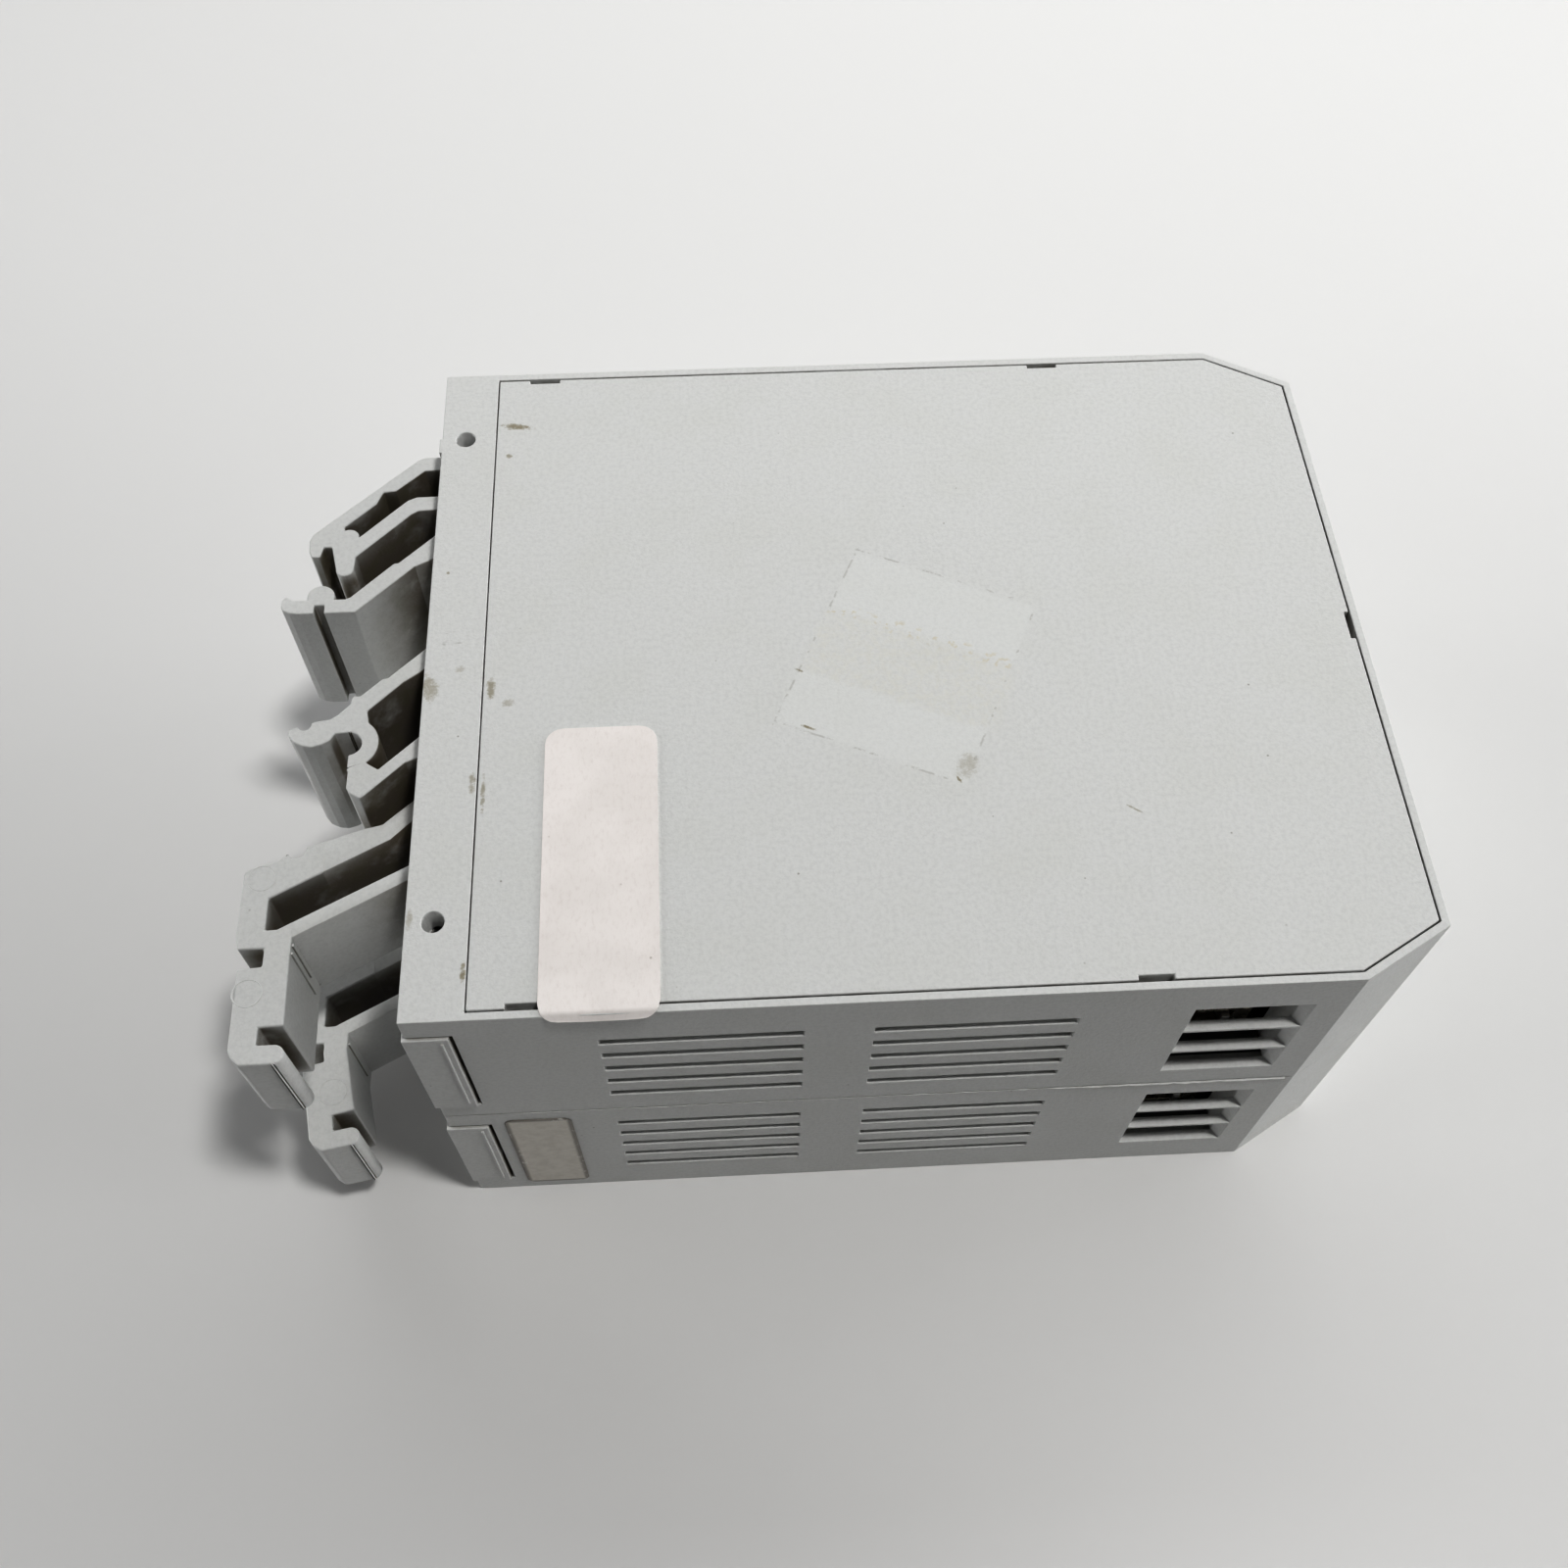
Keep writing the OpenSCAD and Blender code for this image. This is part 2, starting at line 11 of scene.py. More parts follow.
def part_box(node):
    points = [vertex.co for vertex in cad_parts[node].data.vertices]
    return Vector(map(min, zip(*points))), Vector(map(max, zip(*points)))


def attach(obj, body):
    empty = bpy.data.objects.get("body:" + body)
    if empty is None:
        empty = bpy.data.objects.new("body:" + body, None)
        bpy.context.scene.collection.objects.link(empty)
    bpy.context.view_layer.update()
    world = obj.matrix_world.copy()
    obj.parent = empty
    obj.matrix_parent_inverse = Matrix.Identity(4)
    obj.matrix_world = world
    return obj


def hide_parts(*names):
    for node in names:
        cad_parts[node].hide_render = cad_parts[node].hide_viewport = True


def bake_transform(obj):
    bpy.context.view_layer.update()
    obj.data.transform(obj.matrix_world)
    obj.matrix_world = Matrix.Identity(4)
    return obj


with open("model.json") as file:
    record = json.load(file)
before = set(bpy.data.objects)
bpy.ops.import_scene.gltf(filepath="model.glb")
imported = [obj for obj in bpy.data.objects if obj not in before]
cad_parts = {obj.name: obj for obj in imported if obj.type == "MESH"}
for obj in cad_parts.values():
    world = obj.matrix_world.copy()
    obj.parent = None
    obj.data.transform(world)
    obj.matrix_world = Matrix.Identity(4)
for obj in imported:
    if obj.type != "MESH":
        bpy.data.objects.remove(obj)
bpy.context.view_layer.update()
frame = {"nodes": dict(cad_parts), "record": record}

# ---------------------------------------------------------------- places
# Lengths are written in millimetres, measured from the rear lower corner of the
# case on its lying side: x towards the front, y up the mounted height, z up.

MM = 0.001
CASE_DEPTH = 89.3
CASE_HEIGHT = 73.5
CASE_WIDTH = 45.0
SEAM_Z = CASE_WIDTH / 2

shell_low, shell_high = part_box("left_shell")
CASE_ORIGIN = Vector((shell_high.x - CASE_DEPTH * MM, shell_low.y, 0.0))


def at(x, y, z):
    """A point of the case, in metres in the row frame."""
    return CASE_ORIGIN + Vector((x, y, z)) * MM


def mirrored(z, side):
    """A height on the left module, or its mirror image on the right one."""
    return z if side == "left" else CASE_WIDTH - z


# ---------------------------------------------------------------- shader kit


class Finish:
    """A material with a Principled shader, and short names for the nodes that feed it."""

    def __init__(self, name, colour, roughness=0.5, metallic=0.0, specular=0.5):
        self.material = bpy.data.materials.new(name)
        self.material.use_nodes = True
        self.tree = self.material.node_tree
        self.tree.nodes.clear()
        output = self.tree.nodes.new("ShaderNodeOutputMaterial")
        self.shader = self.tree.nodes.new("ShaderNodeBsdfPrincipled")
        self.tree.links.new(self.shader.outputs["BSDF"], output.inputs["Surface"])
        self.set("Base Color", rgba(colour))
        self.set("Roughness", roughness)
        self.set("Metallic", metallic)
        self.set("Specular IOR Level", specular)
        self.object_point = self.tree.nodes.new("ShaderNodeTexCoord").outputs["Object"]

    def feed(self, socket, value):
        if isinstance(value, bpy.types.NodeSocket):
            self.tree.links.new(value, socket)
        else:
            socket.default_value = value

    def set(self, name, value):
        self.feed(self.shader.inputs[name], value)

    def node(self, kind, values=None, **settings):
        made = self.tree.nodes.new(kind)
        for key, value in settings.items():
            setattr(made, key, value)
        for key, value in (values or {}).items():
            self.feed(made.inputs[key], value)
        return made

    def math(self, operation, a, b=0.0, c=0.0, clamp=False):
        made = self.node("ShaderNodeMath", {0: a, 1: b, 2: c}, operation=operation, use_clamp=clamp)
        return made.outputs[0]

    def times(self, a, b):
        return self.math("MULTIPLY", a, b)

    def plus(self, a, b):
        return self.math("ADD", a, b)

    def most(self, a, b):
        return self.math("MAXIMUM", a, b)

    def between(self, value, low, high):
        """0 below low, 1 above high, smooth in between; low may be the larger one."""
        turned = low > high
        made = self.node(
            "ShaderNodeMapRange",
            {"Value": value, "From Min": min(low, high), "From Max": max(low, high),
             "To Min": float(turned), "To Max": float(not turned)},
            interpolation_type="SMOOTHSTEP",
        )
        return made.outputs["Result"]

    def noise(self, size_mm, detail=2.0, roughness=0.5, point=None):
        """Noise whose lumps are about size_mm across."""
        made = self.node(
            "ShaderNodeTexNoise",
            {"Vector": point or self.object_point, "Scale": 1.0 / (size_mm * MM),
             "Detail": detail, "Roughness": roughness, "Distortion": 0.0},
        )
        return made.outputs["Fac"]

    def cells(self, size_mm):
        """Distance to the middle of the nearest of many scattered cells, in cell sizes."""
        made = self.node(
            "ShaderNodeTexVoronoi",
            {"Vector": self.object_point, "Scale": 1.0 / (size_mm * MM), "Randomness": 1.0},
            feature="F1",
        )
        return made.outputs["Distance"]

    def stretched(self, x, y, z):
        """The object point with each axis multiplied, for streaks and brushed metal."""
        made = self.node("ShaderNodeVectorMath", {0: self.object_point, 1: (x, y, z)}, operation="MULTIPLY")
        return made.outputs[0]

    def axes(self):
        made = self.node("ShaderNodeSeparateXYZ", {0: self.object_point})
        return made.outputs[0], made.outputs[1], made.outputs[2]

    def mix(self, amount, a, b):
        made = self.node("ShaderNodeMix", data_type="RGBA")
        self.feed(made.inputs["Factor"], amount)
        self.feed(made.inputs[6], rgba(a))
        self.feed(made.inputs[7], rgba(b))
        return made.outputs[2]

    def bump(self, height, depth_mm, normal=None):
        """A bump of that real depth from a height of 0 to 1, on top of an earlier one."""
        made = self.node(
            "ShaderNodeBump", {"Height": height, "Distance": depth_mm * MM, "Strength": 1.0}
        )
        if normal is not None:
            self.feed(made.inputs["Normal"], normal)
        return made.outputs["Normal"]

    def crevice(self, reach_mm):
        """0 on open faces, towards 1 in corners and grooves within reach."""
        made = self.node(
            "ShaderNodeAmbientOcclusion", {"Distance": reach_mm * MM}, samples=8, only_local=False
        )
        return self.math("SUBTRACT", 1.0, made.outputs["AO"], clamp=True)


def rgba(colour):
    if isinstance(colour, bpy.types.NodeSocket) or len(colour) == 4:
        return colour
    return (*colour, 1.0)


# ---------------------------------------------------------------- materials

PLASTIC_GREY = (0.664, 0.670, 0.664)
# Dark brown: the colour of lint specks, and of the painted shade in corners and grooves.
GRIME_AND_SHADE = (0.105, 0.085, 0.050)
STAIN = (0.215, 0.175, 0.085)
MOTTLE_TINT = (0.986, 0.986, 0.978)


def moulded_grain(f, grain_mm=0.30, depth_mm=0.03):
    """Spark-eroded grain over a faint unevenness of the whole face."""
    fine = f.noise(grain_mm, detail=2.0, roughness=0.6)
    slow = f.noise(14.0, detail=1.0)
    return f.bump(slow, 0.05, normal=f.bump(fine, depth_mm))


def case_plastic(name, colour=PLASTIC_GREY, crevice_shade=0.5, crevice_shade_reach=1.6, extra=None):
    """Light grey ABS that has been handled and stored for years, with painted shade darkening its corners
    and grooves in patches.
    """
    f = Finish(name, colour, roughness=0.5)
    mottle = f.noise(9.0, detail=4.0, roughness=0.62)
    yellowed = [c * k for c, k in zip(colour, MOTTLE_TINT)]
    aged = f.mix(f.between(mottle, 0.42, 0.68), colour, yellowed)
    fine = f.noise(0.45, detail=2.0, roughness=0.7)
    aged = f.mix(f.times(f.between(fine, 0.35, 0.75), 0.26), aged, [c * 0.72 for c in colour])
    # small dark specks and lint caught in the grain
    speck = f.times(f.between(f.cells(2.6), 0.055, 0.02), f.between(f.noise(7.0), 0.52, 0.62))
    aged = f.mix(f.times(speck, 0.5), aged, GRIME_AND_SHADE)
    # painted shade: corners and grooves within reach darkened towards dark brown, broken into patches
    corner = f.between(f.crevice(crevice_shade_reach), 0.25, 0.95)
    patch = f.between(f.noise(3.2, detail=3.0, roughness=0.6), 0.34, 0.60)
    dirt_and_shade = f.times(f.times(corner, patch), crevice_shade)
    if extra:
        aged, dirt_and_shade = extra(f, aged, dirt_and_shade)
    # painted shade in the corners, together with real dirt from the extra marks, darkens the colour here
    f.set("Base Color", f.mix(dirt_and_shade, aged, GRIME_AND_SHADE))
    rough = f.plus(0.44, f.times(f.noise(2.2, detail=3.0), 0.12))
    f.set("Roughness", f.plus(rough, f.times(dirt_and_shade, 0.3)))
    f.set("Normal", moulded_grain(f))
    return f.material


# Marks on the upper side face: place x and y, half lengths, tilt in degrees, strength
COVER_SMUDGES = (
    (7.6, 66.0, 1.9, 0.45, -8.0, 0.75),
    (6.9, 62.0, 0.35, 0.35, 0.0, 0.6),
    (6.3, 33.0, 0.45, 1.3, 0.0, 0.6),
    (7.9, 31.4, 0.7, 0.5, 20.0, 0.35),
    (6.1, 21.8, 0.25, 2.2, 0.0, 0.55),
    (64.0, 17.5, 0.9, 0.12, -35.0, 0.5),
    (49.6, 22.6, 1.1, 1.7, -25.0, 0.32),
    (48.8, 21.2, 0.5, 0.14, -60.0, 0.75),
    (35.0, 33.9, 0.5, 0.14, -25.0, 0.7),
    (35.6, 27.4, 1.0, 0.16, -25.0, 0.8),
)
STRIP_SMUDGES = (
    (5.1, 23.0, 0.35, 1.2, 0.0, 0.55),
    (5.2, 4.4, 0.3, 1.0, 0.0, 0.75),
    (0.6, 33.5, 0.9, 1.6, 10.0, 0.5),
    (3.4, 35.5, 0.6, 0.4, 30.0, 0.3),
    (0.4, 9.5, 0.35, 1.1, 0.0, 0.35),
    (1.6, 47.0, 0.2, 0.2, 0.0, 0.6),
)


def turned_axes(f, x_mm, y_mm, degrees):
    """Distances in mm from a place of the side face, along axes turned by that angle."""
    x, y, _ = f.axes()
    place = at(x_mm, y_mm, 0.0)
    dx = f.math("MULTIPLY_ADD", x, 1.0 / MM, -place.x / MM)
    dy = f.math("MULTIPLY_ADD", y, 1.0 / MM, -place.y / MM)
    c, s = math.cos(math.radians(degrees)), math.sin(math.radians(degrees))
    along = f.math("MULTIPLY_ADD", dy, s, f.times(dx, c))
    across = f.math("MULTIPLY_ADD", dx, -s, f.times(dy, c))
    return along, across


def upper_face_only(f):
    """1 on the side face that lies on top, 0 below it."""
    _, _, z = f.axes()
    return f.between(z, (CASE_WIDTH - 0.35) * MM, (CASE_WIDTH - 0.2) * MM)


def smudges(f, marks):
    """Irregular dirty spots on the upper side face."""
    ragged = f.math("MULTIPLY_ADD", f.noise(0.7, detail=5.0, roughness=0.8), 4.4, -2.2)
    total = None
    for x_mm, y_mm, half_x, half_y, degrees, strength in marks:
        u, v = turned_axes(f, x_mm, y_mm, degrees)
        reach = f.plus(
            f.math("POWER", f.math("ABSOLUTE", f.times(u, 1.0 / half_x)), 2.0),
            f.math("POWER", f.math("ABSOLUTE", f.times(v, 1.0 / half_y)), 2.0),
        )
        spot = f.times(f.between(f.plus(reach, ragged), 1.1, -0.1), strength)
        total = spot if total is None else f.most(total, spot)
    return f.times(total, upper_face_only(f))


# Outline of the sticker that was once there: middle, half size and tilt
OLD_STICKER = (45.3, 34.1)
OLD_STICKER_HALF = (9.2, 11.2)
OLD_STICKER_TILT = -24.6
CLEAN_BANDS = ((3.6, 11.0), (-10.6, -4.2))


def band(f, value, low, high, soft):
    """1 between two values, fading over soft at both ends."""
    return f.times(f.between(value, low - soft, low + soft),
                   f.between(value, high + soft, high - soft))


def sticker_ghost(f, aged, dirt_and_shade):
    """Cleaner patches, yellowed glue and dirty outlines where a sticker was peeled off."""
    u, v = turned_axes(f, *OLD_STICKER, OLD_STICKER_TILT)
    wander = f.math("MULTIPLY_ADD", f.noise(1.6, detail=3.0, roughness=0.7), 1.2, -0.6)
    half_u, half_v = OLD_STICKER_HALF
    face = upper_face_only(f)
    inside_u = band(f, f.plus(u, f.times(wander, 0.3)), -half_u, half_u, 0.4)
    for low, high in CLEAN_BANDS:
        clean = f.times(band(f, f.plus(v, f.times(wander, 0.5)), low, high, 0.45), inside_u)
        aged = f.mix(f.times(f.times(clean, face), 0.32), aged, (0.712, 0.722, 0.714))
    glue = f.times(band(f, f.plus(v, wander), CLEAN_BANDS[1][1], CLEAN_BANDS[0][0], 0.5),
                   band(f, f.plus(u, wander), -half_u, half_u + 0.8, 0.7))
    crumbs = f.between(f.noise(0.8, detail=4.0, roughness=0.8), 0.40, 0.66)
    glue = f.times(f.times(glue, face), f.math("MULTIPLY_ADD", crumbs, 0.26, 0.05))
    aged = f.mix(glue, aged, (0.672, 0.660, 0.590))
    top_glue = f.times(band(f, f.plus(v, wander), 2.9, 4.3, 0.3), inside_u)
    spots = f.between(f.noise(0.7, detail=2.0), 0.56, 0.66)
    aged = f.mix(f.times(f.times(f.times(top_glue, spots), face), 0.4), aged, (0.56, 0.50, 0.34))
    broken = f.between(f.noise(1.5, detail=3.0, roughness=0.7), 0.50, 0.58)
    outline = 0.0
    for value, edge, other, reach in ((v, half_v, u, half_u), (v, -half_v + 0.6, u, half_u),
                                      (u, half_u, v, half_v), (u, -half_u, v, half_v)):
        off_edge = f.math("SUBTRACT", f.plus(value, f.times(wander, 0.15)), edge)
        line = f.between(f.math("ABSOLUTE", off_edge), 0.16, 0.04)
        line = f.times(line, f.between(f.math("ABSOLUTE", other), reach + 0.3, reach))
        outline = f.most(outline, line)
    outline = f.times(f.times(outline, broken), face)
    return aged, f.most(dirt_and_shade, f.times(outline, 0.22))


def cover_marks(f, aged, dirt_and_shade):
    """What is on the upper side cover: the old sticker's traces and some smudges."""
    aged, dirt_and_shade = sticker_ghost(f, aged, dirt_and_shade)
    return f.mix(smudges(f, COVER_SMUDGES), aged, STAIN), dirt_and_shade


def strip_marks(f, aged, dirt_and_shade):
    """Rusty dirt on the rear strip, and a few dark scuffs on the narrow sides."""
    drawn_out = f.noise(5.0, detail=5.0, roughness=0.75, point=f.stretched(0.4, 1.0, 1.0))
    scuff = f.between(drawn_out, 0.69, 0.74)
    return f.mix(smudges(f, STRIP_SMUDGES), aged, STAIN), f.most(dirt_and_shade, f.times(scuff, 0.3))


def deep_shade_and_grime(f, aged, dirt_and_shade):
    """Painted shade with some brown dirt deep between the arms of the rail foot: dark brown clouds with
    olive patches, over the recesses the occlusion mask finds.
    """
    # painted shade: the deep recesses between the arms, found by the occlusion mask, turn dark brown in
    # clouds
    deep_shade = f.between(f.crevice(9.0), 0.34, 0.74)
    cloud = f.between(f.noise(4.5, detail=4.0, roughness=0.6), 0.16, 0.50)
    olive = f.between(f.noise(2.0, detail=3.0), 0.45, 0.62)
    stained_and_shaded = f.mix(f.times(f.times(deep_shade, cloud), 0.93), aged, (0.135, 0.110, 0.078))
    stained_and_shaded = f.mix(f.times(f.times(f.times(deep_shade, olive), cloud), 0.4), stained_and_shaded, (0.165, 0.155, 0.095))
    return stained_and_shaded, dirt_and_shade


def paper(name):
    """Uncoated label paper: faint fibres, a yellowed fold and a few dirty dots."""
    f = Finish(name, (0.77, 0.735, 0.71), roughness=0.62, specular=0.35)
    fibre = f.noise(0.35, detail=4.0, roughness=0.7, point=f.stretched(1.0, 0.45, 1.0))
    cloud = f.noise(6.0, detail=2.0)
    tint = f.mix(f.between(cloud, 0.35, 0.7), (0.824, 0.793, 0.777), (0.782, 0.751, 0.733))
    tint = f.mix(f.times(f.between(fibre, 0.45, 0.8), 0.2), tint, (0.52, 0.46, 0.43))
    _, _, z = f.axes()
    fold = f.between(f.math("SUBTRACT", z, shell_high.z - 0.4 * MM), 0.0, -0.6 * MM)
    tint = f.mix(f.times(fold, 0.5), tint, (0.72, 0.69, 0.60))
    speck = f.between(f.cells(3.4), 0.05, 0.02)
    tint = f.mix(f.times(speck, 0.4), tint, (0.2, 0.16, 0.12))
    f.set("Base Color", tint)
    f.set("Normal", f.bump(fibre, 0.012))
    return f.material


def worn_foil(name):
    """Silver-grey foil label, rubbed and dirty round its rim."""
    f = Finish(name, (0.70, 0.67, 0.62), roughness=0.38)
    rub = f.noise(1.4, detail=4.0, roughness=0.7)
    tint = f.mix(f.between(rub, 0.35, 0.7), (0.74, 0.71, 0.655), (0.66, 0.63, 0.575))
    low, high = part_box("number_label")
    x, _, z = f.axes()
    from_side = f.math("MINIMUM", f.math("SUBTRACT", x, low.x), f.math("SUBTRACT", high.x, x))
    from_end = f.math("MINIMUM", f.math("SUBTRACT", z, low.z), f.math("SUBTRACT", high.z, z))
    rim = f.times(f.math("MINIMUM", from_side, from_end), 1.0 / MM)
    outline = f.times(f.between(f.plus(rim, f.times(rub, 0.3)), 0.75, 0.35), 0.75)
    tint = f.mix(outline, tint, (0.16, 0.14, 0.12))
    worn = f.between(f.noise(1.1, detail=4.0, roughness=0.75), 0.58, 0.66)
    scuff = f.times(worn, f.times(f.between(rim, 1.3, 0.2), 0.7))
    tint = f.mix(scuff, tint, (0.85, 0.84, 0.80))
    f.set("Base Color", tint)
    f.set("Roughness", f.plus(0.34, f.times(rub, 0.25)))
    f.set("Normal", f.bump(f.noise(2.5, detail=3.0), 0.03))
    return f.material


def clear_red(name):
    """Red-tinted moulded lens."""
    f = Finish(name, (0.50, 0.02, 0.015), roughness=0.12)
    f.set("Transmission Weight", 0.35)
    f.set("IOR", 1.49)
    cloud = f.between(f.noise(1.2), 0.3, 0.7)
    f.set("Base Color", f.mix(cloud, (0.52, 0.022, 0.016), (0.42, 0.014, 0.010)))
    f.set("Normal", f.bump(f.noise(0.6), 0.004))
    return f.material


def circuit_board(name):
    """Green solder mask over copper tracks, with a glass weave below."""
    f = Finish(name, (0.03, 0.16, 0.07), roughness=0.32)
    x, y, _ = f.axes()
    runs = f.noise(5.0, detail=0.0, point=f.stretched(0.35, 1.4, 1.0))
    lines = f.math("FRACT", f.times(y, 1.0 / (2.54 * MM)))
    track = f.times(f.between(f.math("ABSOLUTE", f.math("SUBTRACT", lines, 0.5)), 0.2, 0.16),
                    f.between(runs, 0.46, 0.5))
    tint = f.mix(f.times(track, 0.8), (0.020, 0.115, 0.050), (0.045, 0.235, 0.100))
    weave = f.times(f.math("SINE", f.times(x, 7000.0)), f.math("SINE", f.times(y, 7000.0)))
    f.set("Base Color", f.mix(f.times(f.between(weave, 0.2, 0.9), 0.15), tint, (0.08, 0.22, 0.10)))
    f.set("Normal", f.bump(track, 0.035))
    return f.material


def black_mouldings(name, colour=(0.022, 0.022, 0.024), roughness=0.48):
    """Moulded black thermoset with a dusty bloom."""
    f = Finish(name, colour, roughness=roughness)
    dust = f.between(f.noise(2.0, detail=4.0, roughness=0.7), 0.45, 0.8)
    f.set("Base Color", f.mix(f.times(dust, 0.25), colour, (0.12, 0.115, 0.105)))
    f.set("Roughness", f.plus(roughness - 0.06, f.times(dust, 0.25)))
    f.set("Normal", f.bump(f.noise(0.25, detail=2.0), 0.008))
    return f.material


def laminations(name):
    """Varnished transformer sheets, stacked along z."""
    f = Finish(name, (0.16, 0.165, 0.175), roughness=0.38, metallic=0.7)
    _, _, z = f.axes()
    sheet = f.math("FRACT", f.times(z, 1.0 / (0.5 * MM)))
    gap = f.between(f.math("ABSOLUTE", f.math("SUBTRACT", sheet, 0.5)), 0.36, 0.48)
    rust = f.between(f.noise(4.0, detail=4.0, roughness=0.65), 0.55, 0.75)
    tint = f.mix(f.times(rust, 0.5), (0.17, 0.175, 0.19), (0.16, 0.075, 0.035))
    f.set("Base Color", f.mix(gap, tint, (0.02, 0.02, 0.022)))
    f.set("Metallic", f.math("SUBTRACT", 0.75, f.times(rust, 0.4)))
    f.set("Normal", f.bump(gap, -0.08))
    return f.material


def wound_tape(name):
    """Yellow insulation tape round the winding, with its overlaps showing."""
    f = Finish(name, (0.62, 0.40, 0.05), roughness=0.28)
    _, _, z = f.axes()
    wrap = f.math("FRACT", f.plus(f.times(z, 1.0 / (4.6 * MM)), f.times(f.noise(20.0), 0.3)))
    lap = f.between(wrap, 0.06, 0.0)
    wrinkle = f.noise(1.2, detail=3.0, point=f.stretched(0.4, 0.4, 2.0))
    f.set("Base Color", f.mix(f.between(wrinkle, 0.4, 0.75), (0.66, 0.43, 0.06), (0.50, 0.30, 0.03)))
    f.set("Normal", f.bump(wrinkle, 0.05, normal=f.bump(lap, 0.06)))
    return f.material


def shrink_sleeve(name):
    """Glossy dark blue capacitor sleeve."""
    f = Finish(name, (0.02, 0.045, 0.17), roughness=0.25)
    f.set("Coat Weight", 0.4)
    cloud = f.between(f.noise(3.0, detail=3.0), 0.4, 0.7)
    f.set("Base Color", f.mix(cloud, (0.018, 0.042, 0.16), (0.03, 0.06, 0.20)))
    f.set("Normal", f.bump(f.noise(1.6, detail=2.0), 0.02))
    return f.material


def metal(name, colour, roughness=0.3, streak=(1.0, 1.0, 1.0), dull=0.25):
    """Plated or plain metal with brushing, dull patches and handling marks."""
    f = Finish(name, colour, roughness=roughness, metallic=1.0)
    brushed = f.noise(0.25, detail=3.0, roughness=0.7, point=f.stretched(*streak))
    patch = f.between(f.noise(2.4, detail=4.0, roughness=0.65), 0.42, 0.72)
    darker = [c * 0.62 for c in colour]
    f.set("Base Color", f.mix(f.times(patch, dull), colour, darker))
    f.set("Roughness", f.plus(roughness - 0.05, f.times(patch, 0.22)))
    f.set("Normal", f.bump(brushed, 0.006))
    return f.material


FUSE_CAP = 5.0


def clear_glass(name):
    """Fuse tube: clear glass between two nickelled caps."""
    f = Finish(name, (0.80, 0.86, 0.84), roughness=0.06)
    _, y, _ = f.axes()
    low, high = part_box("fuse")
    far, near = (FUSE_CAP + 0.1) * MM, (FUSE_CAP - 0.1) * MM
    low_cap = f.between(y, low.y + far, low.y + near)
    cap = f.most(low_cap, f.between(y, high.y - far, high.y - near))
    f.set("Base Color", f.mix(cap, (0.80, 0.86, 0.84), (0.66, 0.64, 0.60)))
    f.set("Metallic", cap)
    f.set("Roughness", f.plus(f.times(cap, 0.22), 0.06))
    f.set("Transmission Weight", f.times(f.math("SUBTRACT", 1.0, cap), 0.9))
    f.set("Normal", f.bump(f.noise(1.0), 0.004))
    return f.material


# Each case plastic darkens its corners and grooves with painted shade, by the amount given.
SHELL_PLASTIC = case_plastic("case_grey_abs", extra=strip_marks)
COVER_PLASTIC = case_plastic("cover_grey_abs", crevice_shade=0.35, extra=cover_marks)
# The rail foot's plastic gets the most painted shade in its corners, and more painted shade deep between
# its arms.
FOOT_PLASTIC = case_plastic("foot_grey_abs", crevice_shade=0.7, crevice_shade_reach=3.0, extra=deep_shade_and_grime)
FINISHES = {
    "case_plastic": SHELL_PLASTIC,
    "panel_plastic": case_plastic("panel_grey_abs", colour=(0.585, 0.60, 0.59), crevice_shade=0.4),
    "lens": clear_red("red_lens"),
    "label_paper": paper("label_paper"),
    "label_foil": worn_foil("label_foil"),
    "board": circuit_board("solder_mask"),
    "black_plastic": black_mouldings("black_thermoset"),
    "core_steel": laminations("core_laminations"),
    "winding_tape": wound_tape("winding_tape"),
    "capacitor_sleeve": shrink_sleeve("capacitor_sleeve"),
    "aluminium": metal("extruded_aluminium", (0.58, 0.585, 0.60), 0.42, (3.0, 3.0, 0.1)),
    "steel": metal("zinc_plated_steel", (0.60, 0.60, 0.57), 0.30),
    "clip_brass": metal("bright_brass", (0.70, 0.52, 0.22), 0.25),
    "cage_brass": metal("nickelled_brass", (0.62, 0.58, 0.48), 0.30),
    "fuse_glass": clear_glass("fuse_glass"),
    "tinned_copper": metal("tinned_copper", (0.64, 0.63, 0.60), 0.35),
    "terminal_plastic": black_mouldings("terminal_polyamide", (0.045, 0.046, 0.045), 0.5),
}

# ---------------------------------------------------------------- CAD nodes

SLOTS = {s["node"]: s["material_slot"] for s in frame["record"]["subparts"]}
SPECIAL = {
    "left_cover": COVER_PLASTIC,
    "right_cover": COVER_PLASTIC,
    "left_rail_foot": FOOT_PLASTIC,
    "right_rail_foot": FOOT_PLASTIC,
    "left_latch": FOOT_PLASTIC,
    "right_latch": FOOT_PLASTIC,
}
EDGE_ROUND = {  # bevel of each node's edges, in mm
    "left_shell": 0.1, "right_shell": 0.1, "left_cover": 0.12, "right_cover": 0.12,
    "left_rail_foot": 0.15, "right_rail_foot": 0.15, "left_latch": 0.2, "right_latch": 0.2,
    "front_panel": 0.15, "indicator_led": 0.05, "main_board": 0.1, "terminal_board": 0.1,
    "transformer_core": 0.2,
    "transformer_winding": 1.2, "transformer_bobbin": 0.15, "bridge_rectifier": 0.3,
    "heat_sink": 0.12, "smoothing_capacitor": 0.5, "output_capacitor": 0.4,
}
PLAIN_EDGE = 0.08
WELD_GAP = 2e-6
FLAT_WITHIN = math.radians(0.4)
CREASE = math.radians(28)


